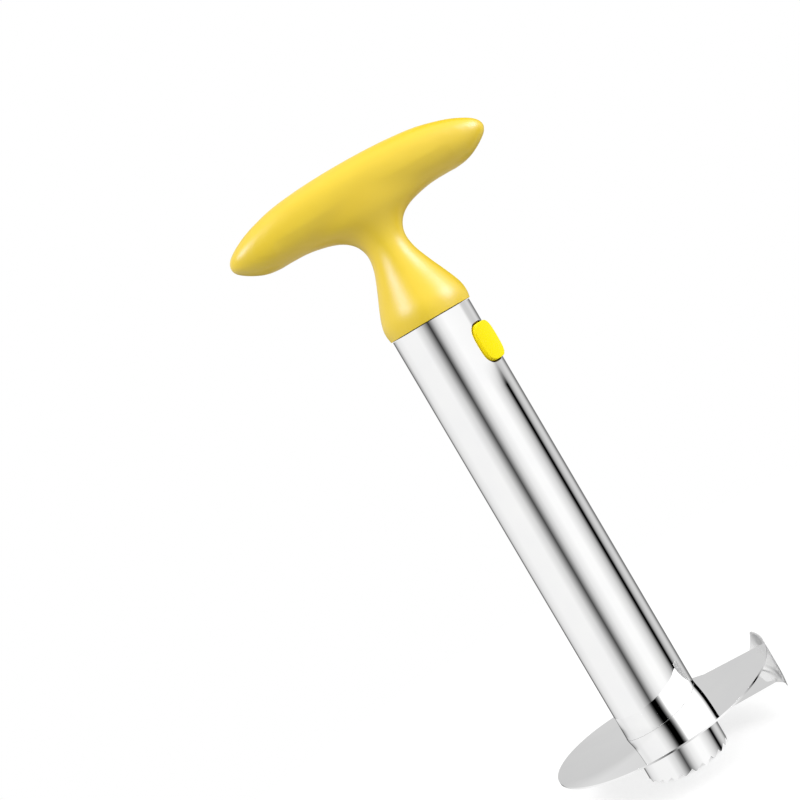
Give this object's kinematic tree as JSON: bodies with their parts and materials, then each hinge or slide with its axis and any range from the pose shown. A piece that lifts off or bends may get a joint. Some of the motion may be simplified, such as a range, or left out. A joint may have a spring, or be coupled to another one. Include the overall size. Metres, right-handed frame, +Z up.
{
  "type": "pineapple slicer",
  "caption": "Twist-down fruit corer: T-handle on a toothed steel tube with a spiral slicing blade and sprung release buttons.",
  "frame": {"origin": "on the tube's axis, at the tips of the saw teeth that it stands on", "axes": "+Z up along the tube to the handle, +X along the handle bar and towards the blade's cutting edge, -Y towards the picture's viewer"},
  "size_m": [0.0988, 0.0846, 0.2355],
  "materials": {
    "grip_plastic": "satin moulded plastic with a fine grain",
    "button_plastic": "smooth bright plastic",
    "polished_steel": "mirror-polished stainless steel",
    "spring_wire": "plain spring wire and screw steel"
  },
  "bodies": {
    "corer": {"handle_grip": "grip_plastic", "handle_plug": "grip_plastic", "plug_cap": "grip_plastic", "plug_screw": "spring_wire", "button_spring": "spring_wire", "corer_tube": "polished_steel", "spiral_blade": "polished_steel", "weld_bead": "polished_steel"},
    "right_button": {"button_right": "button_plastic"},
    "left_button": {"button_left": "button_plastic"}
  },
  "joints": [
    {"name": "right_button_press", "type": "slide", "parent": "corer", "child": "right_button", "axis": [-0.8007, 0.599, 0], "range_m": [0, 0.0028], "stiffness_N_per_m": 800, "deforming": ["button_spring"]},
    {"name": "left_button_press", "type": "slide", "parent": "corer", "child": "left_button", "axis": [0.8007, -0.599, 0], "range_m": [0, 0.0028], "stiffness_N_per_m": 800, "deforming": ["button_spring"]}
  ]
}
